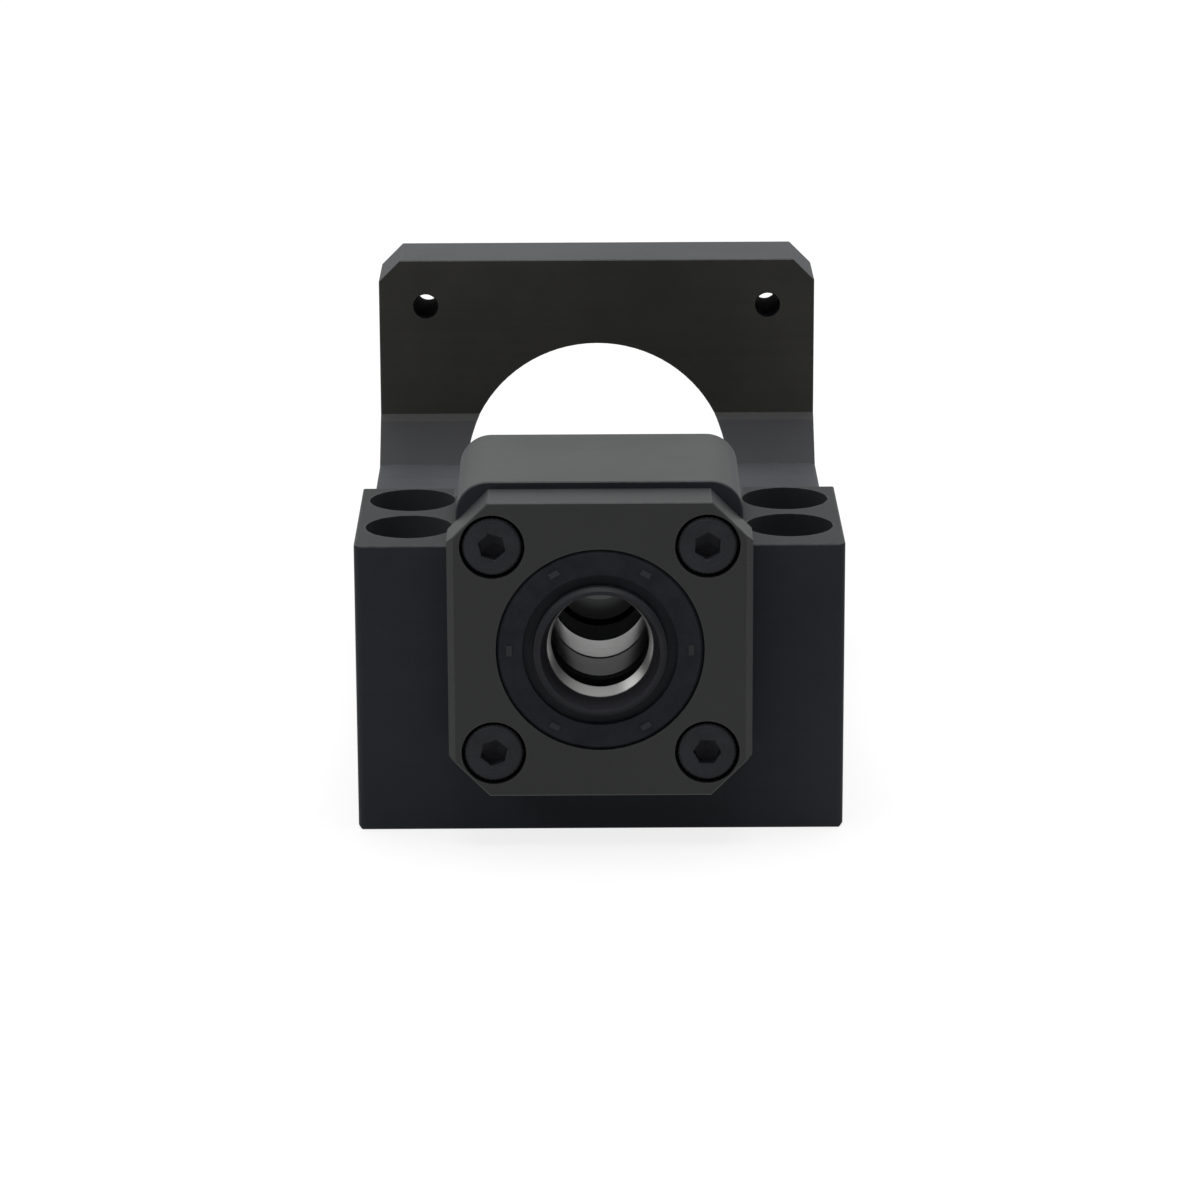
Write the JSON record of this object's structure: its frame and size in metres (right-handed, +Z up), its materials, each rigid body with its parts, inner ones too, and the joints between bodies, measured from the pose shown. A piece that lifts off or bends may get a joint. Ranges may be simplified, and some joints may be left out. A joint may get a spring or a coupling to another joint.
{
  "type": "ball screw end support",
  "caption": "Fixed-end bearing support for a ball screw, machined in one piece with its motor flange, with a retaining plate, seals, collars, a bearing pair and a lock nut.",
  "frame": {"origin": "centre of the four base holes, on the face that the bracket stands on", "axes": "+Y along the screw from the retaining plate to the motor flange, +Z up from the base, +X to the right seen from the plate"},
  "size_m": [0.06, 0.1007, 0.055],
  "materials": {
    "black_oxide": "satin black oxide on machined steel, with paler broken edges",
    "dark_steel": "black oxide on turned steel, semi-gloss",
    "bearing_steel": "ground bearing steel, bright",
    "seal_rubber": "moulded rubber, matt",
    "cage_resin": "moulded resin",
    "pad_brass": "plain"
  },
  "bodies": {
    "housing": {"bracket_body": "black_oxide", "retaining_plate": "black_oxide", "plate_screws": "dark_steel", "front_seal": "seal_rubber", "front_seal_ring": "bearing_steel", "front_seal_spring": "bearing_steel", "rear_seal": "seal_rubber", "rear_seal_ring": "bearing_steel", "rear_seal_spring": "bearing_steel", "front_outer_ring": "bearing_steel", "rear_outer_ring": "bearing_steel"},
    "screw_clamp": {"front_collar": "dark_steel", "front_inner_ring": "bearing_steel", "rear_inner_ring": "bearing_steel", "rear_collar": "dark_steel", "lock_nut": "dark_steel", "nut_set_screws": "dark_steel", "nut_pads": "pad_brass"},
    "front_ball_set": {"front_balls": "bearing_steel", "front_cage": "cage_resin"},
    "rear_ball_set": {"rear_balls": "bearing_steel", "rear_cage": "cage_resin"}
  },
  "joints": [
    {"name": "screw_spin", "type": "hinge", "parent": "housing", "child": "screw_clamp", "pos_m": [0, -0.0053, 0.025], "axis": [0, 1, 0], "continuous": true},
    {"name": "front_ball_roll", "type": "hinge", "parent": "housing", "child": "front_ball_set", "pos_m": [0, -0.0093, 0.025], "axis": [0, 1, 0], "continuous": true},
    {"name": "rear_ball_roll", "type": "hinge", "parent": "housing", "child": "rear_ball_set", "pos_m": [0, -0.0013, 0.025], "axis": [0, 1, 0], "continuous": true}
  ],
  "couplings": [
    {"joint": "front_ball_roll", "follows": "screw_spin", "ratio": 0.397},
    {"joint": "rear_ball_roll", "follows": "screw_spin", "ratio": 0.397}
  ]
}
